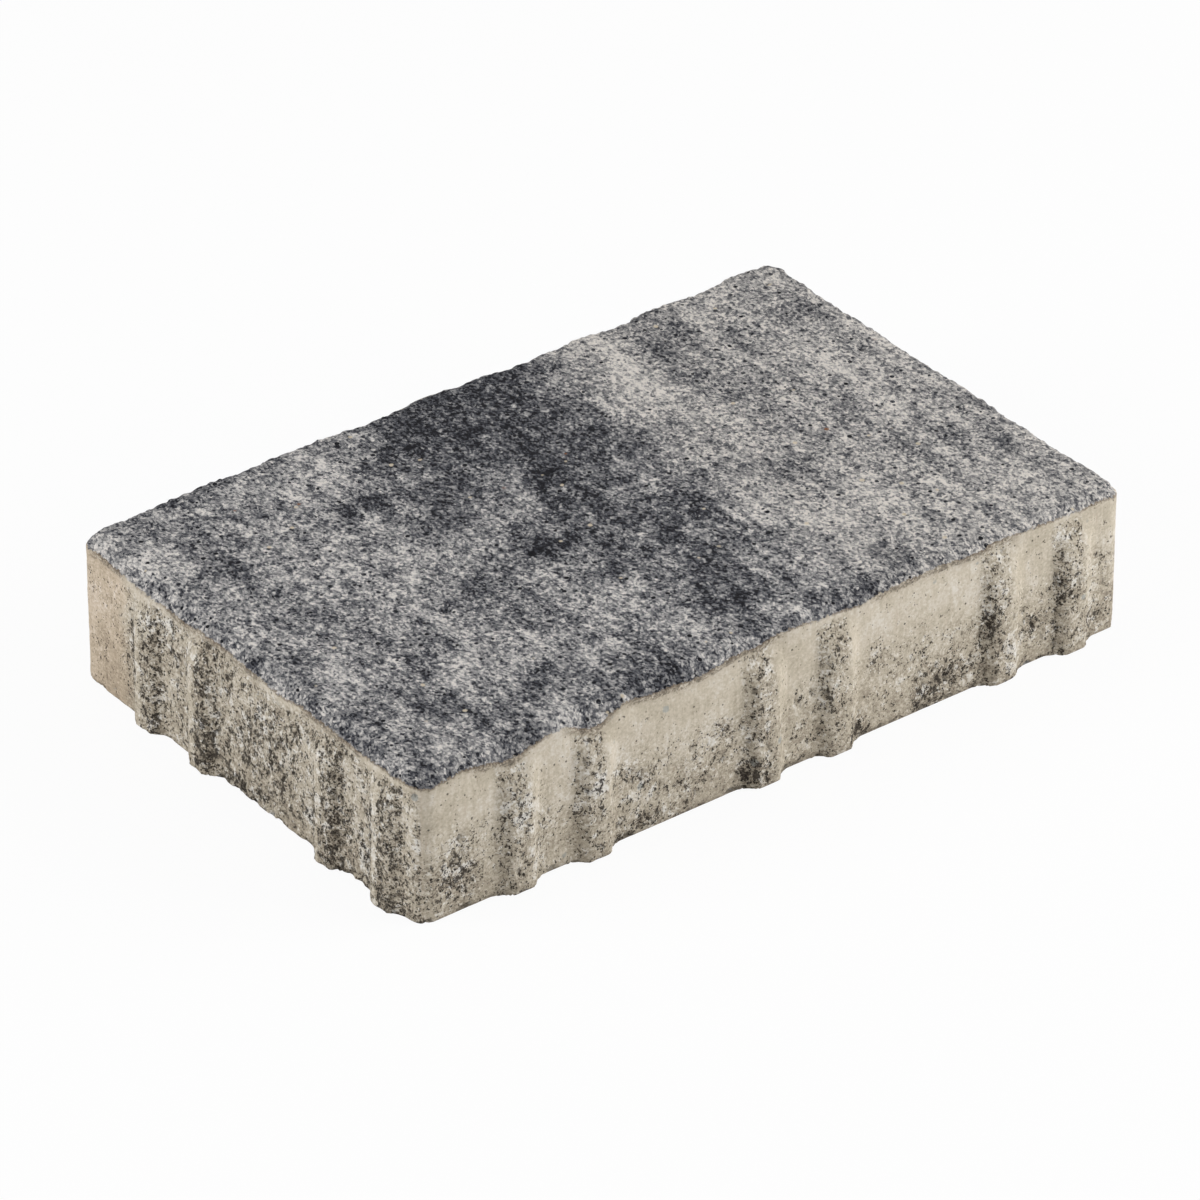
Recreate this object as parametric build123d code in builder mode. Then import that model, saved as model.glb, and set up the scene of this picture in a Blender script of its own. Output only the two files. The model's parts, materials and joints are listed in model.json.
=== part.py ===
from build123d import *
import math
import os

# The stone between its walls, without the nibs that space it from its neighbours
length = 297.0
width = 191.0
thickness = 57.0
corner_radius = 7.0

# Spacer nibs, which stand on every wall in pairs, so that a neighbour's nibs fit between them
first_nib = 40.0  # first crest from the left end of a wall, seen from outside
nib_spacing = 31.0  # between the two crests of a pair
pair_pitch = 101.5  # from one pair to the next
nib_reach = 4.0  # how far the crest stands off the wall at the base
nib_draft = 0.6  # how much of that reach is lost up to the shoulder
nib_crest = 5.0  # width of the crest
nib_flank = 8.0  # run of the rounded flank on each side of the crest
nib_shoulder = 40.0  # height where the nib starts to die away
nib_end = 51.0  # height where it has gone into the wall

# Natural arris, the wavy edge that rolls from the top face down to the walls
long_drop = 2.4  # from the top face down to the wall line, along the long walls
short_drop = 4.5  # the same along the short walls
corner_drop = 3.8  # the same at the corners
drop_blend = 12.0  # distance from a corner over which its drop becomes the wall's own
top_inset = 4.2  # how far the flat top would end inside a wall with no drop
inset_per_drop = 0.1  # how much further in it ends for each millimetre of drop
wall_slope = 0.3  # how far the rolled edge still runs out for each millimetre where it meets the wall
roll = 1.7  # power of the rounding, 1 is a flat chamfer
lean = 0.6  # how far the cut runs out for each millimetre below the wall line
arris_depths = (0.0, 1.5, 5.0, 14.0)  # below the top face, where the rolled edge has its sections
wave_step = 6.0  # distance between the points of the wavy outline

# Waves of the wall line, from the left end of a wall: place, depth and half width, minus where it rises
long_waves = (
    (37.5, 4.0, 8.0), (71.0, 5.0, 8.0), (110.0, 2.6, 15.0), (153.0, -1.3, 9.0),
    (178.0, 0.9, 9.0), (209.0, -0.9, 10.0), (245.0, -1.1, 8.0), (271.0, 0.5, 8.0),
)
short_waves = (
    (15.0, -1.3, 9.0), (38.5, 1.4, 7.0), (57.0, 0.7, 6.0), (79.0, -1.1, 9.0),
    (97.0, 0.4, 6.0), (112.0, 1.9, 6.5), (135.0, -0.5, 7.0), (157.0, 0.5, 8.0),
)
ripples = ((0.30, 13, 0.8), (0.22, 21, 2.9))  # height, waves along a wall and phase of the small ripples

# Walls in turn round the stone: left end seen from outside, direction, length, drop and waves
walls = (
    (Vector(-length / 2, -width / 2), 0, length, long_drop, long_waves),
    (Vector(length / 2, -width / 2), 90, width, short_drop, short_waves),
    (Vector(length / 2, width / 2), 180, length, long_drop, long_waves),
    (Vector(-length / 2, width / 2), 270, width, short_drop, short_waves),
)


def spot(wall, along, out):
    """Point at a distance along a wall from its left end, and out from it."""
    return wall[0] + Vector(along, -out).rotate(Axis.Z, wall[1])


def nib_places(wall_length):
    """Distances of the nib crests from the left end of a wall."""
    last = wall_length - corner_radius - nib_crest / 2 - nib_flank
    places = []
    pair = first_nib
    while pair <= last:
        places += [crest for crest in (pair, pair + nib_spacing) if crest <= last]
        pair += pair_pitch
    return places


def stone_plan(reach):
    """Outline of the stone with nibs of this reach."""
    with BuildLine() as plan:
        for wall in walls:
            heading = Vector(1, 0).rotate(Axis.Z, wall[1])
            here = spot(wall, corner_radius, 0)
            for crest in nib_places(wall[2]):
                left_foot = spot(wall, crest - nib_crest / 2 - nib_flank, 0)
                left_crest = spot(wall, crest - nib_crest / 2, reach)
                right_crest = spot(wall, crest + nib_crest / 2, reach)
                right_foot = spot(wall, crest + nib_crest / 2 + nib_flank, 0)
                Line(here, left_foot)
                Spline(left_foot, left_crest, tangents=(heading, heading))
                Line(left_crest, right_crest)
                Spline(right_crest, right_foot, tangents=(heading, heading))
                here = right_foot
            corner = spot(wall, wall[2] - corner_radius, 0)
            Line(here, corner)
            JernArc(corner, heading, corner_radius, 90)
    return plan.edges()


def wall_line_drop(wall, along, share):
    """Depth of the wall line below the top face, share is 0 to 1 from one corner's middle to the next."""
    _, _, wall_length, own_drop, waves = wall
    near_corner = math.exp(-((min(share, 1 - share) * wall_length / drop_blend) ** 2))
    drop = own_drop + near_corner * (corner_drop - own_drop)
    for place, depth, half_width in waves:
        drop += depth * (1 - near_corner) * math.exp(-(((along - place) / half_width) ** 2))
    for height, count, phase in ripples:
        drop += height * math.sin(2 * math.pi * count * share + phase)
    return drop


def arris_offset(depth, drop):
    """How far the rolled edge stands out from the wall at a depth below the top face."""
    if depth > drop:
        return lean * (depth - drop)
    rounding = top_inset + (inset_per_drop - wall_slope) * drop
    return wall_slope * (depth - drop) - rounding * (1 - depth / drop) ** roll


def arris_plan(depth):
    """Wavy outline of the rolled edge at a depth below the top face."""
    quarter = corner_radius * math.pi / 2
    points = []
    for wall in walls:
        straight = wall[2] - 2 * corner_radius
        steps = round((straight + quarter) / wave_step)
        for step in range(steps):
            run = step / steps * (straight + quarter) - quarter / 2
            on_straight = min(max(run, 0), straight)
            turn = math.degrees((run - on_straight) / corner_radius)
            outward = Vector(0, -1).rotate(Axis.Z, wall[1] + turn)
            centre = spot(wall, corner_radius + on_straight, -corner_radius)
            drop = wall_line_drop(wall, corner_radius + run, step / steps)
            points.append(centre + outward * (corner_radius + arris_offset(depth, drop)))
    with BuildLine() as plan:
        Spline(*points, periodic=True)
    return plan.edges()


# Crown: the top of the stone that lies inside the wavy arris
with BuildPart() as crown:
    for depth in arris_depths:
        with BuildSketch(Plane.XY.offset(thickness - depth)):
            make_face(arris_plan(depth))
    loft()

# What the arris leaves out round the crown
with BuildPart() as waste:
    with BuildSketch(Plane.XY.offset(thickness - arris_depths[-1])):
        Rectangle(2 * length, 2 * width)
    extrude(amount=arris_depths[-1])
    add(crown.part, mode=Mode.SUBTRACT)

# Cast stone with its nibs, which die away below the arris
with BuildPart() as paving_stone:
    for height, reach in ((0.0, nib_reach), (nib_shoulder, nib_reach - nib_draft), (nib_end, 0.0)):
        with BuildSketch(Plane.XY.offset(height)):
            make_face(stone_plan(reach))
    loft(ruled=True)
    extrude(paving_stone.faces().sort_by(Axis.Z)[-1], amount=thickness - nib_end)
    add(waste.part, mode=Mode.SUBTRACT)

paving_stone.part.label = "paving_stone"
os.makedirs("parts", exist_ok=True)
export_step(paving_stone.part, "parts/paving_stone.step")
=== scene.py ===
import json
import math
import random

import bpy
import numpy as np
from mathutils import Matrix, Vector, kdtree, noise

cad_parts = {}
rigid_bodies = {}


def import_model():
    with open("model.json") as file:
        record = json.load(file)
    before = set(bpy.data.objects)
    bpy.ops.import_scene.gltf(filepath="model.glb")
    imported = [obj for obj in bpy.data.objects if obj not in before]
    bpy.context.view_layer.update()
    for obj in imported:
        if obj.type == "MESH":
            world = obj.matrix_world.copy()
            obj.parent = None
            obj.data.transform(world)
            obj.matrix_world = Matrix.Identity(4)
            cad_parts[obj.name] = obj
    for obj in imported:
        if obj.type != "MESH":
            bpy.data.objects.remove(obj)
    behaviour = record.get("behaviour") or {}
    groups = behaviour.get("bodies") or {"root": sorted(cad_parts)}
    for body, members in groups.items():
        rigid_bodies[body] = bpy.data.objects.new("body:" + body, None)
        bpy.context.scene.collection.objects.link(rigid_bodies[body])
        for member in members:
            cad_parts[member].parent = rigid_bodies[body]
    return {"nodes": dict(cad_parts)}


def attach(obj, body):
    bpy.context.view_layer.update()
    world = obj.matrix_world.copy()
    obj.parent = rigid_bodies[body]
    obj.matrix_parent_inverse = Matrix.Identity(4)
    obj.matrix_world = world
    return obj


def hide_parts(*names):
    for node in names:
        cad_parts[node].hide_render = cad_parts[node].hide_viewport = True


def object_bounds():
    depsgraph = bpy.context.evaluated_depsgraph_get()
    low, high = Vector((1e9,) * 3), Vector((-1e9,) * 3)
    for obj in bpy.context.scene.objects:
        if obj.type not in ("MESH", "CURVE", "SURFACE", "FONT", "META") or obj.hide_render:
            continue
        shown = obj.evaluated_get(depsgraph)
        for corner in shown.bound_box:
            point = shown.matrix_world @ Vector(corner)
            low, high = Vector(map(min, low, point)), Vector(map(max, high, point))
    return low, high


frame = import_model()
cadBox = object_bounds()
castNode = frame["nodes"]["paving_stone"]
print("frame loaded:", ", ".join(frame["nodes"]))

bpy.context.scene.view_settings.view_transform = "Standard"


# Camera, at the photograph's own angle

cameraSet = {
    "lens": 269.4,            # mm, on a sensor of this width
    "sensor": 36,
    "distance": 3.041,        # from the point it aims at
    "azimuth": -37.63,        # degrees, 0 looks along +Y
    "elevation": 32.77,
    "aimRight": -0.00124,     # the aim, from the middle of the base, across and up the picture
    "aimUp": 0.01654,
}


def directionTo(azimuth, elevation):
    turn = math.radians(azimuth)
    rise = math.radians(elevation)
    return Vector((math.sin(turn) * math.cos(rise), -math.cos(turn) * math.cos(rise), math.sin(rise)))


def makeCamera():
    back = directionTo(cameraSet["azimuth"], cameraSet["elevation"])
    right = directionTo(cameraSet["azimuth"] + 90, 0)
    up = back.cross(right)
    aim = right * cameraSet["aimRight"] + up * cameraSet["aimUp"]
    lens = bpy.data.cameras.new("photoCamera")
    lens.lens = cameraSet["lens"]
    lens.sensor_width = cameraSet["sensor"]
    lens.clip_start = 0.05
    camera = bpy.data.objects.new("photoCamera", lens)
    bpy.context.collection.objects.link(camera)
    axes = Matrix((right, up, back)).transposed()
    camera.matrix_world = Matrix.Translation(aim + back * cameraSet["distance"]) @ axes.to_4x4()
    bpy.context.scene.camera = camera
    print("camera placed")


makeCamera()


# Shader maths: a wire is one socket of a material, and the usual signs add Math nodes to it

class Wire:
    def __init__(self, tree, socket):
        self.tree = tree
        self.socket = socket

    def maths(self, operation, first, second=0.0):
        return addNode(self.tree, "ShaderNodeMath", {"operation": operation}, {0: first, 1: second})

    def __add__(self, other):
        return self.maths("ADD", self, other)

    def __sub__(self, other):
        return self.maths("SUBTRACT", self, other)

    def __rsub__(self, other):
        return self.maths("SUBTRACT", other, self)

    def __mul__(self, other):
        return self.maths("MULTIPLY", self, other)

    def __abs__(self):
        return self.maths("ABSOLUTE", self)

    __radd__ = __add__
    __rmul__ = __mul__


def addNode(tree, kind, settings=None, values=None, output=0):
    node = tree.nodes.new(kind)
    for name, value in (settings or {}).items():
        if name == "stops":   # of a colour ramp: place and colour
            ramp = node.color_ramp
            while len(ramp.elements) < len(value):
                ramp.elements.new(1.0)
            for element, (place, color) in zip(ramp.elements, value):
                element.position = place
                element.color = color
        else:
            setattr(node, name, value)
    for name, value in (values or {}).items():
        if isinstance(value, Wire):
            tree.links.new(value.socket, node.inputs[name])
        else:
            node.inputs[name].default_value = value
    return Wire(tree, node.outputs[output])


# Light and floor

lightSet = {
    "skyStrength": 0.42,
    "lamps": (                # name, azimuth it comes from, elevation, distance, size, watts
        ("rightLamp", 50, 24, 1.6, 1.1, 18),
        ("leftLamp", -110, 26, 1.6, 1.1, 13),
        ("topLamp", 170, 72, 1.7, 1.2, 2),
    ),
}
floorSet = {
    "size": 12,
    "color": (0.86, 0.86, 0.86, 1),
    "whiteShare": 0.93,       # how much of what the camera sees of the floor is plain white
}


def makeLights():
    world = bpy.data.worlds.new("studio")
    bpy.context.scene.world = world
    world.use_nodes = True
    sky = world.node_tree.nodes["Background"]
    sky.inputs["Color"].default_value = (1, 1, 1, 1)
    sky.inputs["Strength"].default_value = lightSet["skyStrength"]
    for name, azimuth, elevation, distance, size, watts in lightSet["lamps"]:
        toLamp = directionTo(azimuth, elevation)
        lamp = bpy.data.lights.new(name, "AREA")
        lamp.size = size
        lamp.energy = watts
        stand = bpy.data.objects.new(name, lamp)
        bpy.context.collection.objects.link(stand)
        stand.location = toLamp * distance
        stand.rotation_euler = toLamp.to_track_quat("Z", "Y").to_euler()
    print("lights set")


def makeFloor():
    bpy.ops.object.select_all(action="DESELECT")
    bpy.ops.mesh.primitive_plane_add(size=floorSet["size"])
    floor = bpy.context.object
    floor.name = "floor"
    paint = bpy.data.materials.new("floorPaint")
    paint.use_nodes = True
    tree = paint.node_tree
    tree.nodes.clear()
    matt = addNode(tree, "ShaderNodeBsdfDiffuse", {}, {"Color": floorSet["color"]})
    white = addNode(tree, "ShaderNodeEmission", {}, {"Color": (1, 1, 1, 1), "Strength": 1})
    seen = addNode(tree, "ShaderNodeLightPath", {}, {}, "Is Camera Ray")
    both = addNode(tree, "ShaderNodeMixShader", {}, {0: seen * floorSet["whiteShare"], 1: matt, 2: white})
    tree.links.new(both.socket, tree.nodes.new("ShaderNodeOutputMaterial").inputs["Surface"])
    floor.data.materials.append(paint)
    print("floor laid")


makeLights()
makeFloor()


# The stone: the CAD solid with the relief of cast concrete on it. Its own sizes here are in millimetres

stoneSet = {
    "length": 297.0,          # between the walls
    "width": 191.0,
    "height": 57.0,
    "cornerRadius": 7.0,
    "nibs": (40, 71, 141.5, 172.5, 243, 274),   # crests, from the left end of a wall

    "voxel": 1.05,            # size of the mesh that carries the relief
    "finePart": 14,           # width of the face's rim that keeps this mesh, half as fine inside it
    "underside": 0.10,        # share of its faces that the flat underside keeps

    "lumps": {                # noise of the relief: size and seed
        "crumb": (2.0, 10), "small": (2.8, 1), "middle": (5.5, 2), "large": (21, 3),
        "patch": ((16, 16, 11), 4), "strand": ((6, 6, 24), 5),
    },
    "crust": 0.4,             # half the height over which the relief of the face turns into that of the wall
    "faceDepth": 0.3,         # mean depth of the grain of the face
    "faceGrain": 0.22,        # rise and fall of this grain
    "faceSwell": 0.22,        # and of its low swells
    "edgeGrain": 0.60,        # depth of the lumps along the arris
    "edgePart": (4, 9),       # where they fade, in from the wall
    "wallDepth": 0.12,        # mean depth of the smooth skin of the walls
    "wallSwell": 0.06,        # rise and fall of this skin
    "wallGrain": 0.42,        # depth of the open grain of the walls
    "footGrain": 0.4,         # depth of the crumbs along the foot
    "deepest": 3,             # limit of all relief together

    "longFlank": ((-10.5, -7.5), (1, 5)),       # open grain beside a crest, past it: its two soft ends
    "shortFlank": ((-2.2, 0), (8, 11)),         # the same on a short wall
    "limb": (-2.3, 1.3),      # bright rim of a short wall's nibs: its place past the crest and half width
    "smoothTop": (14, 32),    # how far down the open grain of a long wall fades in
    "smoothEnd": (24, 34),    # how far along that of a short wall does
    "pinkEnd": (22, 32),      # and where its pink left end fades

    "ledgeCut": 0.7,          # how far the wall stands back under the ledge
    "ledgeGrain": 0.35,       # depth of the lumps on it
    "ledgeFoot": (1.6, 2.6),  # its lower edge, below the wall line
    "ledgeFade": 3,           # at each of its ends
    "ledges": {               # of the walls of this length: from the left end, start and end
        297: ((20, 43), (60, 78), (86, 150), (188, 248)),
        191: ((8, 26), (52, 104), (128, 160)),
    },

    "seed": 11,
    "faceDents": 40,
    "wallDents": 700,
    "footDents": 170,

    "patches": {              # of the walls: from the left end, height, half widths, open grain, paleness
        297: (
            (80, 28, 4, 2.5, 0.8, 0), (87, 24, 4, 3, 0.8, 0), (93, 20, 3, 3, 0.9, 0), (125, 28, 5, 4, 1.0, 0),
            (136, 5, 5, 4, 1.0, 0), (91, 4, 12, 3, 0.9, 0), (181, 5, 4, 4, 0.9, 0), (213, 7, 7, 5, 0.9, 0),
            (222, 10, 6, 5, 1.0, 0), (236, 26, 4, 8, 0.9, 0), (270, 28, 5, 5, 0.9, 0), (258, 15, 5, 5, 0.8, 0),
            (14, 17, 7, 9, 0.8, 0.3), (20, 10, 4, 5, 0.9, 0), (283, 9, 6, 5, 0.8, 0), (111, 14, 9, 5, 0.5, 0),
            (41, 31, 5, 6, 0.5, 0.9), (71, 28, 3, 3, 0.4, 1.2), (46, 10, 3, 7, 0.2, 0.7),
            (246, 9, 4, 9, 0.1, 0.8),
        ),
        191: (
            (32, 25, 4, 8, 0.9, 0), (74, 14, 4, 6, 1.0, 0), (94, 4, 10, 3, 1.0, 0), (151, 19, 5, 6, 1.0, 0),
            (136, 20, 4, 6, 0.9, 0), (167, 27, 4, 10, 0.9, 0), (95, 25, 6, 8, 0.8, 0),
            (115, 30, 10, 10, 0.6, 0), (131, 12, 3, 4, 0, 1.2), (160, 12, 2, 6, 0, 1.0),
            (51, 45, 4, 3, 0, 0.7), (105, 38, 6, 5, 0, 0.5),
        ),
    },

    "faceTone": 0.515,        # of the face without clouds, and the limits with them
    "faceLimits": (0.26, 0.72),
    "calmPart": (165, 205),   # where the calmer right part of the face begins, and how much lighter it is
    "calmLift": 0.065,
    "cloudWarps": ((14, (6, 7), 5), (5, (8, 9), 2.5)),   # noise that bends the clouds: size, seeds, reach
    "heavyCloud": -0.11,      # a cloud darker than this has the first gain, any other the second
    "cloudGains": (1.45, 1.8),
    "clouds": (               # middle, half widths and strength of each: from the left end, from the back edge
        (142, 18, 30, 25, -0.17), (150, 60, 25, 35, -0.13), (145, 90, 10, 20, -0.12), (172, 115, 8, 12, -0.13),
        (150, 125, 20, 15, -0.12), (150, 165, 12, 14, -0.17), (185, 192, 14, 8, -0.12), (175, 5, 10, 6, -0.12),
        (180, 50, 6, 15, -0.10), (108, 62, 8, 8, -0.12), (100, 72, 10, 6, -0.10), (120, 105, 8, 8, -0.10),
        (92, 133, 7, 8, -0.12), (90, 112, 12, 7, -0.12), (124, 129, 5, 5, -0.10), (100, 185, 15, 14, -0.18),
        (62, 172, 10, 4, -0.12), (45, 187, 6, 6, -0.12), (10, 187, 6, 5, -0.12), (0, 160, 5, 15, -0.10),
        (33, 160, 10, 12, -0.12), (52, 125, 5, 4, -0.10), (60, 3, 10, 5, -0.10), (40, 8, 8, 5, -0.10),
        (57, 30, 5, 5, -0.10), (85, 43, 8, 6, -0.10), (25, 75, 4, 35, -0.05), (0, 98, 4, 5, -0.08),
        (232, 20, 9, 18, -0.09), (250, 40, 5, 10, -0.08), (282, 38, 4, 10, -0.08), (282, 145, 4, 6, -0.08),
        (210, 180, 8, 6, -0.08), (217, 115, 6, 12, -0.05),
        (208, 40, 9, 35, 0.08), (270, 10, 10, 15, 0.05), (270, 65, 8, 25, 0.05), (292, 60, 6, 25, 0.05),
        (267, 105, 6, 6, 0.04), (105, 125, 10, 9, 0.06), (118, 78, 8, 8, 0.06), (124, 185, 8, 12, 0.06),
        (75, 85, 8, 10, 0.05), (85, 20, 12, 12, 0.05), (10, 30, 8, 12, 0.05), (15, 60, 8, 8, 0.04),
        (137, 70, 4, 14, 0.05), (190, 130, 8, 15, 0.05), (215, 142, 8, 8, 0.04),
        (180, 12, 10, 7, -0.08), (226, 62, 9, 14, -0.05), (175, 65, 4, 12, -0.08), (112, 30, 5, 12, -0.08),
        (162, 145, 12, 5, -0.08), (112, 105, 12, 6, -0.10), (85, 50, 16, 4, -0.07), (14, 55, 6, 5, -0.08),
        (30, 72, 6, 8, -0.05), (148, 158, 10, 6, -0.10), (60, 148, 14, 12, 0.08), (134, 75, 4, 10, 0.08),
        (85, 76, 13, 5, 0.07), (18, 130, 9, 8, 0.07), (187, 46, 6, 7, 0.05), (230, 160, 25, 20, 0.03),
    ),
}


def wallPoint(wall, along, inset):
    corner, heading, _ = wall
    inward = Vector((-heading.y, heading.x))
    return corner + heading * along + inward * inset


def stoneWalls():
    halfLength = stoneSet["length"] / 2
    halfWidth = stoneSet["width"] / 2
    return (                  # left end seen from outside, direction, length
        (Vector((-halfLength, -halfWidth)), Vector((1, 0)), stoneSet["length"]),
        (Vector((halfLength, -halfWidth)), Vector((0, 1)), stoneSet["width"]),
        (Vector((halfLength, halfWidth)), Vector((-1, 0)), stoneSet["length"]),
        (Vector((-halfLength, halfWidth)), Vector((0, -1)), stoneSet["width"]),
    )


def wallLine(wall):
    # Height of the wavy line where the arris meets this wall, a value each millimetre
    radius = stoneSet["cornerRadius"]
    heights = []
    for along in range(int(wall[2]) + 1):
        fromEnd = min(along, wall[2] - along)
        rounding = radius - math.sqrt(radius ** 2 - (radius - fromEnd) ** 2) if fromEnd < radius else 0
        spot = wallPoint(wall, along, rounding + 0.1) / 1000
        hit, place, _, _ = castNode.ray_cast(Vector((spot.x, spot.y, 0.1)), Vector((0, 0, -1)))
        heights.append(place.z * 1000 - 0.3 if hit else stoneSet["height"] - 5)
    return heights


def roughness(points, size, seed):
    # Smooth noise, about -1 to 1, whose lumps have this size
    steps = points / np.array(size) + seed * 17.3
    return np.array([noise.noise(Vector(step)) for step in steps])


def smoothStep(values, low, high):
    share = np.clip((values - low) / (high - low), 0, 1)
    return share * share * (3 - 2 * share)


def softBand(values, rise, fall):
    # 1 between two soft ends, each from where to where it fades
    return smoothStep(values, *rise) * (1 - smoothStep(values, *fall))


def softSpot(x, y, wide, high):
    # 1 in the middle of a round patch with these half widths
    return np.exp(-0.8 * ((x / wide) ** 2 + (y / high) ** 2))


def castMesh():
    # A merged copy of the CAD solid, remeshed evenly
    stone = castNode.copy()
    stone.data = castNode.data.copy()
    stone.name = "cast_stone"
    bpy.context.collection.objects.link(stone)
    bpy.ops.object.select_all(action="DESELECT")
    stone.select_set(True)
    bpy.context.view_layer.objects.active = stone
    bpy.ops.object.mode_set(mode="EDIT")
    bpy.ops.mesh.select_all(action="SELECT")
    bpy.ops.mesh.remove_doubles(threshold=0.00001)
    bpy.ops.object.mode_set(mode="OBJECT")
    remesh = stone.modifiers.new("even", "REMESH")
    remesh.mode = "VOXEL"
    remesh.voxel_size = stoneSet["voxel"] / 1000
    bpy.ops.object.modifier_apply(modifier=remesh.name)
    return stone


def thinMesh(stone):
    # Half as fine inside the rim of the face, and few faces on the underside
    innerLength = stoneSet["length"] / 2000 - stoneSet["finePart"] / 1000
    innerWidth = stoneSet["width"] / 2000 - stoneSet["finePart"] / 1000
    for face in stone.data.polygons:
        x, y, _ = face.center
        face.select = abs(x) < innerLength and abs(y) < innerWidth and face.normal.z > 0.999
    bpy.ops.object.mode_set(mode="EDIT")
    bpy.ops.mesh.unsubdivide(iterations=1)
    bpy.ops.object.mode_set(mode="OBJECT")
    bpy.ops.object.mode_set(mode="EDIT")
    bpy.ops.mesh.select_all(action="DESELECT")
    bpy.ops.object.mode_set(mode="OBJECT")
    for face in stone.data.polygons:
        face.select = face.normal.z < -0.99 and face.center.z < 0.0003
    bpy.ops.object.mode_set(mode="EDIT")
    bpy.ops.mesh.select_mode(type="FACE")
    bpy.ops.mesh.select_less()
    bpy.ops.mesh.decimate(ratio=stoneSet["underside"])
    bpy.ops.object.mode_set(mode="OBJECT")


def readPoints(mesh):
    # Places in millimetres and normals of the mesh's points, a row each
    count = len(mesh.vertices)
    spots = np.empty(count * 3)
    mesh.vertices.foreach_get("co", spots)
    normals = np.empty(count * 3)
    mesh.vertex_normals.foreach_get("vector", normals)
    return spots.reshape(-1, 3) * 1000, normals.reshape(-1, 3)


def placesOnWalls(spots, walls):
    # How far in each point is from every wall, which is nearest, how far along it and how far above its line
    insets = []
    alongs = []
    lines = []
    for wall in walls:
        corner, heading, wallLength = wall
        away = spots[:, :2] - np.array(corner)
        alongs.append(away @ np.array(heading))
        insets.append(away @ np.array((-heading.y, heading.x)))
        lines.append(np.interp(alongs[-1], np.arange(int(wallLength) + 1), wallLine(wall)))
    insets = np.array(insets)
    nearest = np.argmin(insets, axis=0)
    rows = np.arange(len(spots))
    along = np.array(alongs)[nearest, rows]
    above = spots[:, 2] - np.array(lines)[nearest, rows]
    print("wall line found")
    return insets, nearest, along, above


def faceTones(spots):
    # Tone of the clouded face, 0 to 1 as it is seen, and how much each point is of its calm part
    warp = sum(np.stack([roughness(spots, size, seed) for seed in seeds], 1) * reach
               for size, seeds, reach in stoneSet["cloudWarps"])
    leftward = spots[:, 0] + stoneSet["length"] / 2 + warp[:, 0]
    backward = stoneSet["width"] / 2 + 1 - spots[:, 1] + warp[:, 1]
    calm = smoothStep(leftward, *stoneSet["calmPart"])
    cloud = stoneSet["faceTone"] + stoneSet["calmLift"] * calm
    heavyGain, lightGain = stoneSet["cloudGains"]
    for x, y, wide, deep, strength in stoneSet["clouds"]:
        gain = heavyGain if strength < stoneSet["heavyCloud"] else lightGain
        cloud += strength * gain * softSpot(leftward - x, backward - y, wide, deep)
    return np.clip(cloud, *stoneSet["faceLimits"]), calm


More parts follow.
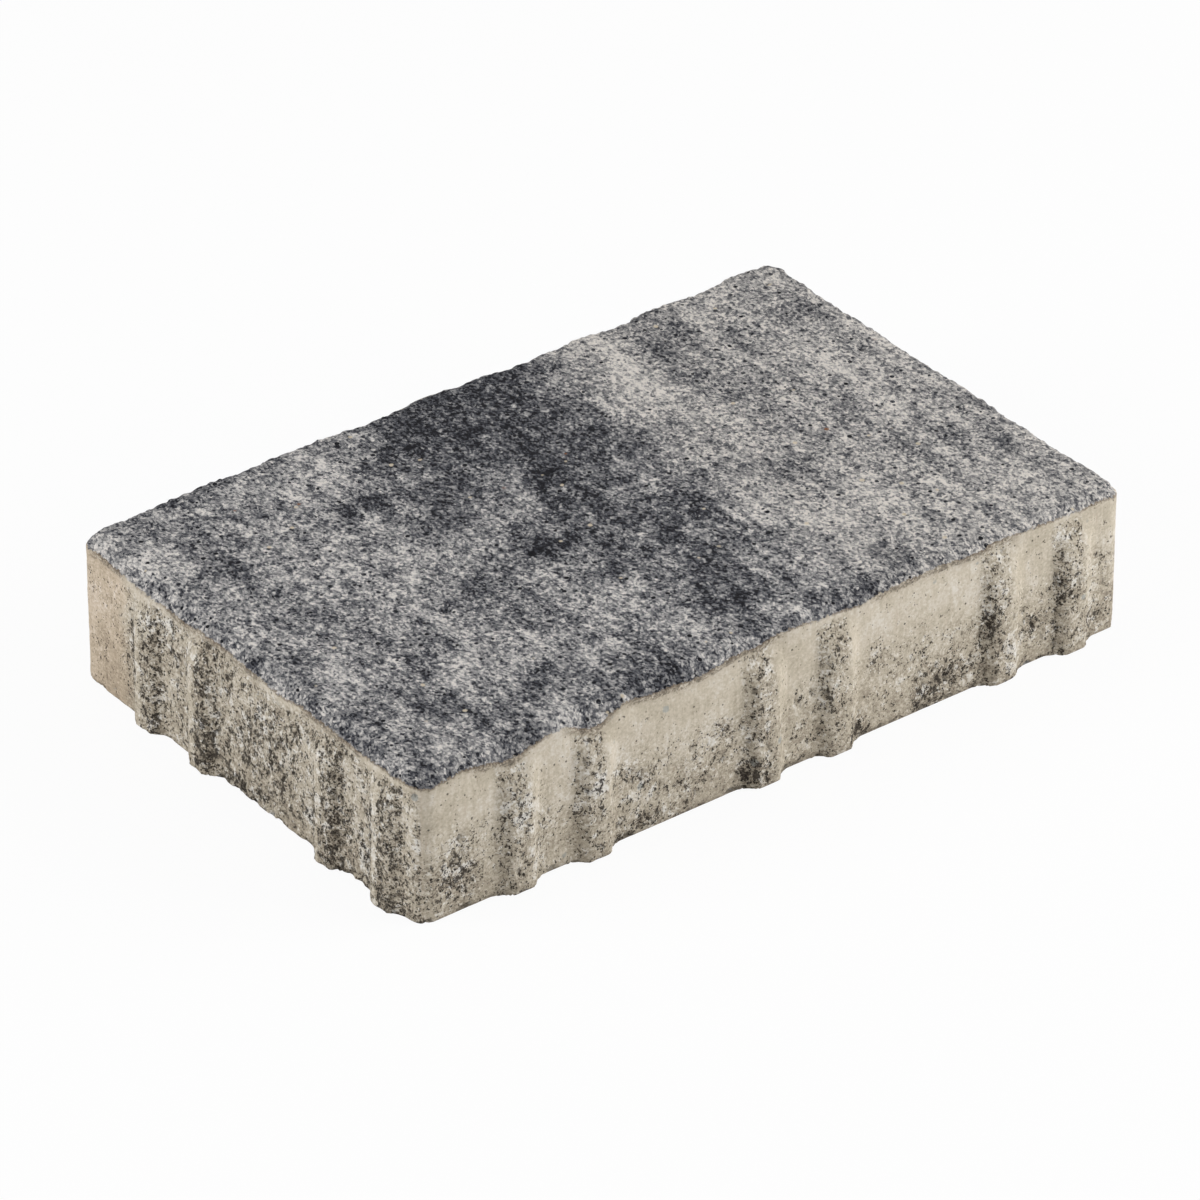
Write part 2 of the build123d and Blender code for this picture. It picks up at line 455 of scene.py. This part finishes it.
def makeStone():
    stone = castMesh()
    thinMesh(stone)
    mesh = stone.data
    print("stone remeshed:", len(mesh.vertices), "points")
    spots, normals = readPoints(mesh)
    count = len(spots)
    walls = stoneWalls()
    insets, nearest, along, above = placesOnWalls(spots, walls)
    below = -above
    height = spots[:, 2]

    # How far each point is past the crest of its nearest nib, and how much it is of a short wall
    crests = np.array(stoneSet["nibs"])
    past = along - crests[np.argmin(np.abs(along[:, None] - crests), axis=1)]
    nearer = np.minimum(insets[0], insets[2]) - np.minimum(insets[1], insets[3])
    shortness = smoothStep(nearer, -1.5, 1.5)

    ledge = np.zeros(count)
    opened = np.zeros(count)
    paleness = np.zeros(count)
    for index, (_, _, wallLength) in enumerate(walls):
        for x, z, wide, high, openness, pale in stoneSet["patches"][int(wallLength)]:
            share = (nearest == index) * softSpot(along - x, height - z, wide, high)
            opened += openness * share
            paleness += pale * share
        fade = stoneSet["ledgeFade"]
        for start, end in stoneSet["ledges"][int(wallLength)]:
            band = softBand(along, (start - fade, start + fade), (end - fade, end + fade))
            ledge = np.maximum(ledge, band * (nearest == index))

    lumps = {name: roughness(spots, size, seed) for name, (size, seed) in stoneSet["lumps"].items()}
    crumb, small, middle, large, patch, strand = lumps.values()
    print("relief noise ready")

    # Face: its grain, and coarser lumps along the arris
    face = smoothStep(above, -stoneSet["crust"], stoneSet["crust"])
    underside = smoothStep(-normals[:, 2], 0.7, 0.95)
    edge = face * (1 - smoothStep(insets.min(axis=0), *stoneSet["edgePart"]))
    sink = face * (stoneSet["faceDepth"] + stoneSet["faceGrain"] * small + stoneSet["faceSwell"] * large)
    sink += edge * stoneSet["edgeGrain"] * (0.5 + 1.1 * crumb + 0.5 * small + 0.1 * middle)

    # Walls: how open their grain is, below a smooth skin and on the flanks of the nibs
    longFlank = softBand(past, *stoneSet["longFlank"])
    shortFlank = softBand(past, *stoneSet["shortFlank"])
    flank = (longFlank + shortness * (shortFlank - longFlank)) * smoothStep(below, 0.5, 4)
    longOpen = smoothStep(below + 9 * patch, *stoneSet["smoothTop"]) * 0.6
    shortOpen = (1.0 + 0.5 * patch) * smoothStep(below, 1, 5)
    shortOpen *= 0.3 + 0.7 * smoothStep(along, *stoneSet["smoothEnd"])
    openGrain = longOpen + shortness * (shortOpen - longOpen)
    openGrain = np.maximum(openGrain, (0.85 + 0.45 * shortness) * flank)
    openGrain += 0.25 * strand * smoothStep(below, 3, 12) + opened
    limbPlace, limbWidth = stoneSet["limb"]
    limb = np.exp(-((past - limbPlace) / limbWidth) ** 2) * shortness * smoothStep(below, 3, 8)
    openGrain = np.clip(openGrain * (1 - 0.6 * limb), 0, 1.5)
    paleness += limb * (0.35 + 0.6 * small)
    pinkness = shortness * (1 - smoothStep(along + 5 * patch, *stoneSet["pinkEnd"])) * (below > 0)

    # Walls: their relief, with the ledge under the wall line and the crumbling foot
    wallPart = (1 - face) * (1 - underside)
    ragged = below + 0.8 * small + 0.7 * middle
    ledgeFoot = smoothStep(ragged, *stoneSet["ledgeFoot"])
    sink += wallPart * (stoneSet["wallDepth"] + stoneSet["wallSwell"] * large)
    sink += wallPart * openGrain * stoneSet["wallGrain"] * (0.6 + 0.6 * crumb + 0.7 * small + 0.5 * middle)
    sink += wallPart * ledge * stoneSet["ledgeCut"] * ledgeFoot * (1 - smoothStep(below, 4, 12))
    sink += wallPart * ledge * stoneSet["ledgeGrain"] * (0.5 + small) * (1 - ledgeFoot)
    sink += wallPart * stoneSet["footGrain"] * (0.5 + small) * (1 - smoothStep(height, 1, 4))

    # Dents: pits of the face, pores of the walls and chips along the foot
    tree = kdtree.KDTree(count)
    for index, spot in enumerate(spots):
        tree.insert(spot, index)
    tree.balance()
    dice = random.Random(stoneSet["seed"])
    # share of each dent, which the finish later paints darker as shade in the dent
    pore = np.zeros(count)

    def dent(center, radius, depth, flat=1.0):
        _, start, _ = tree.find(center)
        middleSpot = spots[start]
        for spot, index, _ in tree.find_range(middleSpot, radius * 1.4):
            away = np.array(spot) - middleSpot
            away[2] *= flat
            share = 1.25 - np.linalg.norm(away) / radius - 0.35 * small[index]
            share = min(max(share / 0.6, 0), 1)
            sink[index] += depth * share * share * (3 - 2 * share)
            pore[index] = max(pore[index], share)

    def anyWall():
        return dice.choices(walls, [wall[2] for wall in walls])[0]

    for _ in range(stoneSet["faceDents"]):
        x = dice.uniform(-0.47, 0.47) * stoneSet["length"]
        y = dice.uniform(-0.46, 0.46) * stoneSet["width"]
        dent((x, y, stoneSet["height"]), dice.uniform(0.8, 1.9), dice.uniform(0.6, 1.4))
    made = 0
    while made < stoneSet["wallDents"]:
        wall = anyWall()
        place = dice.uniform(3, wall[2] - 3)
        rise = dice.uniform(1, stoneSet["height"] - 6)
        spot = wallPoint(wall, place, 0)
        _, start, _ = tree.find((spot.x, spot.y, rise))
        if dice.random() < openGrain[start] ** 2 * 0.9 + 0.01:   # mostly where the grain is open
            size = dice.uniform(0.6, 1.2)
            dent((spot.x, spot.y, rise), size, size * dice.uniform(0.5, 0.9), dice.uniform(0.5, 1.0))
            made += 1
    for _ in range(stoneSet["footDents"]):
        wall = anyWall()
        spot = wallPoint(wall, dice.uniform(2, wall[2] - 2), 0)
        dent((spot.x, spot.y, 0), dice.uniform(0.9, 2.4), dice.uniform(0.3, 1.1), 1.6)
    print("dents made")

    # The relief only goes inwards, so the stone stays inside the CAD box
    sink *= 1 - underside
    spots -= normals * np.clip(sink, 0, stoneSet["deepest"])[:, None]
    lowest = np.array(cadBox[0]) * 1000
    highest = np.array(cadBox[1]) * 1000
    spots = np.clip(spots, lowest, highest)
    mesh.vertices.foreach_set("co", (spots / 1000).ravel())
    mesh.update()

    cloud, calm = faceTones(spots)
    layers = {
        "above": above, "cloud": cloud, "calm": calm, "pore": pore, "ledge": ledge,
        "openGrain": openGrain, "paleness": paleness, "pinkness": pinkness,
    }
    for name, values in layers.items():
        mesh.attributes.new(name, "FLOAT", "POINT").data.foreach_set("value", values)
    bpy.ops.object.select_all(action="DESELECT")
    stone.select_set(True)
    bpy.context.view_layer.objects.active = stone
    bpy.ops.object.shade_smooth()
    triangles = sum(len(face.vertices) - 2 for face in mesh.polygons)
    print("stone relief done:", triangles, "triangles")
    return stone


# Finish of the stone

paintSet = {
    "roughness": 0.92,
    "specular": 0.25,
    "bumpHeight": 0.001,
    "noises": {               # size in millimetres, octaves, their share and seed
        "streak": ((6, 40, 40), 4, 0.75, 3),      # of the face, along the short side
        "mottle": ((7, 9, 7), 4, 0.8, 5),
        "fine": ((1.1, 1.6, 1.1), 3, 0.9, 7),
        "skin": (14, 3, 0.7, 15),                 # of the walls
        "lines": ((1.4, 1.4, 12), 3, 0.6, 17),
        "fineWall": (0.9, 3, 0.75, 19),
        "cluster": ((5, 5, 7), 3, 0.7, 21),
        "crack": (5.5, 3, 0.65, 35),
        "hole": ((2.3, 2.3, 3.0), 4, 0.85, 33),
        "plate": (4.0, 3, 0.7, 25),
        "rustLine": ((0.7, 0.7, 16), 1, 0.5, 45),
        "ragged": (1.6, 3, 0.85, 27),             # of the wall line
        "lineGap": (9, 2, 0.5, 35),
        "ledgeFoot": (5, 3, 0.6, 29),
    },
    "cells": {                # size in millimetres, seed and stretch along the short side
        "sand": (0.75, 7, 1.4),
        "gravel": (1.5, 8, 1.3),
        "pit": (2.6, 11, 1.0),
        "hollow": (5.2, 13, 1.0),
        "chip": (3.7, 14, 1.0),
        "crystal": (10, 31, 1.0),
        "pore": (0.95, 23, 1.0),                  # of the walls
        "pin": (2.4, 51, 1.0),
        "fleck": (11, 41, 1.0),
    },
    "faceStops": (            # tone of the face and its colour
        (0.10, (0.009, 0.009, 0.012, 1)), (0.22, (0.0370, 0.0385, 0.0480, 1)),
        (0.31, (0.0750, 0.0775, 0.0890, 1)), (0.404, (0.1330, 0.1350, 0.1450, 1)),
        (0.51, (0.2270, 0.2232, 0.2270, 1)), (0.596, (0.3185, 0.3140, 0.3095, 1)),
        (0.659, (0.4020, 0.3916, 0.3864, 1)), (0.725, (0.5029, 0.4851, 0.4735, 1)),
        (0.90, (0.74, 0.70, 0.66, 1)),
    ),
    "wallStops": (            # the same for the walls
        (0.10, (0.020, 0.017, 0.014, 1)), (0.25, (0.060, 0.050, 0.040, 1)),
        (0.40, (0.1610, 0.1329, 0.1000, 1)), (0.51, (0.2640, 0.2222, 0.1720, 1)),
        (0.58, (0.3419, 0.2940, 0.2330, 1)), (0.647, (0.4287, 0.3740, 0.2940, 1)),
        (0.706, (0.5089, 0.4540, 0.3590, 1)), (0.741, (0.5711, 0.5060, 0.4080, 1)),
        (0.80, (0.65, 0.60, 0.52, 1)), (0.95, (0.80, 0.77, 0.72, 1)),
    ),
    # brown line under the face's crust, partly a painted shadow line
    "brownLine": (0.10, 0.065, 0.040, 1),
    "rust": (0.23, 0.09, 0.035, 1),
    "crystal": (0.66, 0.57, 0.43, 1),
    "fleck": (0.30, 0.33, 0.33, 1),
    # painted shadow on the walls under the face's crust
    "underEdge": (0.20, 0.165, 0.125, 1),
    # near black of pores and pits: painted shade in these hollows
    "pit": (0.036, 0.029, 0.023, 1),
    "pink": (1.0, 0.88, 0.80, 1),
    "warm": (1.0, 0.975, 0.93, 1),
}


def paintConcrete():
    paint = bpy.data.materials.new("castConcrete")
    paint.use_nodes = True
    tree = paint.node_tree
    tree.nodes.clear()

    place = addNode(tree, "ShaderNodeTexCoord", {}, {}, "Object")
    place = addNode(tree, "ShaderNodeVectorMath", {"operation": "SCALE"}, {0: place, "Scale": 1000})

    def attribute(name):
        return addNode(tree, "ShaderNodeAttribute", {"attribute_name": name}, {}, "Fac")

    def steps(sizes, seeds):
        return addNode(tree, "ShaderNodeVectorMath", {"operation": "MULTIPLY_ADD"},
                       {0: place, 1: tuple(1 / size for size in sizes), 2: seeds})

    def grain(name):
        # Noise around 0.5
        size, detail, share, seed = paintSet["noises"][name]
        sizes = size if isinstance(size, tuple) else (size,) * 3
        return addNode(tree, "ShaderNodeTexNoise", {}, {
            "Vector": steps(sizes, (seed, seed * 1.7, seed * 2.3)),
            "Scale": 1, "Detail": detail, "Roughness": share})

    def cells(name):
        # Grains: the distance from the middle of each, and a tone of its own, 0 to 1
        size, seed, stretch = paintSet["cells"][name]
        distance = addNode(tree, "ShaderNodeTexVoronoi", {}, {
            "Vector": steps((size, size * stretch, size), (seed, seed * 1.3, seed * 0.7)), "Scale": 1})
        color = Wire(tree, distance.socket.node.outputs["Color"])
        return distance, addNode(tree, "ShaderNodeSeparateColor", {}, {"Color": color})

    def ramp(value, low, high):
        return addNode(tree, "ShaderNodeMapRange", {"interpolation_type": "SMOOTHSTEP"},
                       {"Value": value, "From Min": low, "From Max": high, "To Min": 0, "To Max": 1})

    def colors(value, name):
        return addNode(tree, "ShaderNodeValToRGB", {"stops": paintSet[name]}, {"Fac": value})

    def blend(share, first, second, kind="MIX"):
        second = paintSet[second] if isinstance(second, str) else second
        return addNode(tree, "ShaderNodeMix", {"data_type": "RGBA", "blend_type": kind},
                       {0: share, 6: first, 7: second}, 2)

    def concrete(color, height):
        bump = addNode(tree, "ShaderNodeBump", {}, {
            "Strength": 1.0, "Distance": paintSet["bumpHeight"], "Height": height})
        return addNode(tree, "ShaderNodeBsdfPrincipled", {}, {
            "Base Color": color, "Normal": bump,
            "Roughness": paintSet["roughness"], "Specular IOR Level": paintSet["specular"]})

    above = attribute("above")
    pore = attribute("pore")
    sandMiddle, sand = cells("sand")

    def faceFinish():
        # Clouded grey, with sand and gravel of many tones, pits, a few crystals and rust dots
        calm = attribute("calm")
        mottle = grain("mottle")
        fine = grain("fine")
        gravelMiddle, gravel = cells("gravel")
        pitMiddle, pitKind = cells("pit")
        pitRadius = ramp(pitKind, 0.35, 1.0) * 0.36
        pits = ramp(pitRadius - pitMiddle + (fine - 0.5) * 0.3 + (mottle - 0.5) * 0.2, 0, 0.03)
        hollowMiddle, hollowKind = cells("hollow")
        hollowGap = hollowMiddle - hollowKind * 0.17 - (fine - 0.5) * 0.14
        someHollows = ramp(hollowKind, 0.4, 0.5)
        chipMiddle, chipKind = cells("chip")
        chips = ramp(chipMiddle - (fine - 0.5) * 0.10, 0.12, 0.09) * ramp(chipKind, 0.5, 0.55)
        tone = attribute("cloud") + 0.010 + (grain("streak") - 0.5) * 0.75
        tone = tone + (mottle - 0.5) * (1.2 - calm * 0.4) + (fine - 0.5) * 0.9
        tone = tone + (sand - 0.5) * 0.43 + (gravel - 0.5) * 0.16 + ramp(gravel, 0.93, 0.96) * 0.08
        # pits and the dents of the face are painted darker: painted shade in these real hollows
        tone = tone - pits * 0.28 - ramp(pore, 0.35, 0.7) * 0.25 + chips * 0.2
        tone = tone + ramp(hollowGap, 0.07, 0.03) * someHollows * 0.12     # painted highlight on the rims of the hollows
        # painted shade: the insides of the hollows are painted dark
        tone = tone - ramp(hollowGap, 0.02, -0.01) * someHollows * 0.7
        color = colors(tone, "faceStops")
        color = blend(calm * 0.4, color, "warm", "MULTIPLY")
        crystalMiddle, crystalKind = cells("crystal")
        crystal = ramp(crystalMiddle + (fine - 0.5) * 0.10, 0.10, 0.07)
        color = blend(crystal * ramp(crystalKind, 0.5, 0.55) * 0.8, color, "crystal")
        color = blend(crystal * ramp(crystalKind, 0.09, 0.07) * 0.8, color, "rust")
        return concrete(color, gravel * 0.3 - sandMiddle * 0.3 - gravelMiddle * 0.4)

    def wallFinish(ragged):
        # Beige, smooth on top, with pores along cracks, holes and pale plates where the grain is open
        openGrain = attribute("openGrain")
        paleness = attribute("paleness")
        ledge = attribute("ledge")
        fineWall = grain("fineWall")
        cluster = grain("cluster")
        openness = openGrain + (cluster - 0.5) * 2.4
        crack = ramp(abs(grain("crack") - 0.5), 0.03, 0) * ramp(openness, 0.25, 0.9)
        poreMiddle, poreKind = cells("pore")
        radius = openness * poreKind * 0.26 + crack * 0.40 + ramp(poreKind, 0.88, 0.92) * 0.18
        pores = ramp(radius - poreMiddle + (fineWall - 0.5) * 0.9, 0, 0.05)
        pinMiddle, pinKind = cells("pin")
        pins = ramp(pinKind * 0.2 - pinMiddle + (fineWall - 0.5) * 0.12, 0, 0.03)
        holes = ramp(grain("hole") + openness * 0.10, 0.665, 0.685)
        plate = ramp(grain("plate") + paleness * 0.18, 0.56, 0.62) * ramp(openness + paleness, 0.2, 0.6)
        tone = 0.754 - ramp(above, -14, -60) * 0.06
        tone = tone + (grain("skin") - 0.5) * 0.26 + (grain("lines") - 0.5) * 0.14
        tone = tone + (fineWall - 0.5) * (0.20 + 0.45 * openGrain) + (sand - 0.5) * (0.06 + 0.10 * openGrain)
        tone = tone + (plate - 0.25) * 0.12 * (0.4 + openGrain) + paleness * 0.04
        tone = tone - (cluster - 0.5) * openGrain * 0.25
        color = colors(tone, "wallStops")
        color = blend(attribute("pinkness") * 0.55, color, "pink", "MULTIPLY")
        fleckMiddle, fleckKind = cells("fleck")
        fleck = ramp(fleckMiddle + (fineWall - 0.5) * 0.12, 0.15, 0.11) * ramp(fleckKind, 0.6, 0.65)
        color = blend(fleck * 0.6, color, "fleck")
        rustLine = ramp(grain("rustLine"), 0.72, 0.80) * ramp(openness, 0.5, 0.1)
        color = blend(rustLine * 0.3, color, "rust")
        # pores, holes, pinholes and the dents are painted dark in the pit colour: painted shade in these real
        # hollows
        clear = (1 - pores * 0.94) * (1 - holes * 0.88) * (1 - pins * 0.8) * (1 - ramp(pore, 0.5, 0.9) * 0.4)
        color = blend(1 - clear, color, "pit")

        # Under the wall line: a painted shadow, the rough ledge, its dark colour partly painted shade, and a
        # brown line with gaps, partly a painted shadow line
        color = blend(ramp(above, -6, -1) * (0.3 + ledge * 0.5) * 0.22, color, "underEdge")
        ledgeBand = ramp(ragged + (grain("ledgeFoot") - 0.5) * 4, -3.0, -2.0) * ledge
        # the ledge's rough grain in a darker tone, partly its own colour and partly painted shade
        ledgeColorAndShade = colors((fineWall - 0.5) * 1.9 + (cluster - 0.5) * 0.6 + 0.50, "wallStops")
        color = blend(ledgeBand * 0.75, color, ledgeColorAndShade)
        # a thin brown line with gaps along the wall line, partly a painted shadow line under the crust's edge
        brownLine = ramp(ragged, -1.1, -0.2) * ramp(grain("lineGap"), 0.36, 0.56)
        color = blend(brownLine * 0.7, color, "brownLine")
        return concrete(color, fineWall * (0.1 + openGrain * 0.5) - holes * 0.8)

    # The grey face mix ends at a ragged line on the arris
    ragged = above + (grain("ragged") - 0.5) * 3.6
    both = addNode(tree, "ShaderNodeMixShader", {}, {
        0: ramp(ragged, -0.15, 0.1), 1: wallFinish(ragged), 2: faceFinish()})
    tree.links.new(both.socket, tree.nodes.new("ShaderNodeOutputMaterial").inputs["Surface"])
    print("concrete painted:", len(tree.nodes), "nodes")
    return paint


stone = makeStone()
stone.data.materials.clear()
stone.data.materials.append(paintConcrete())
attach(stone, "root")
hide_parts("paving_stone")
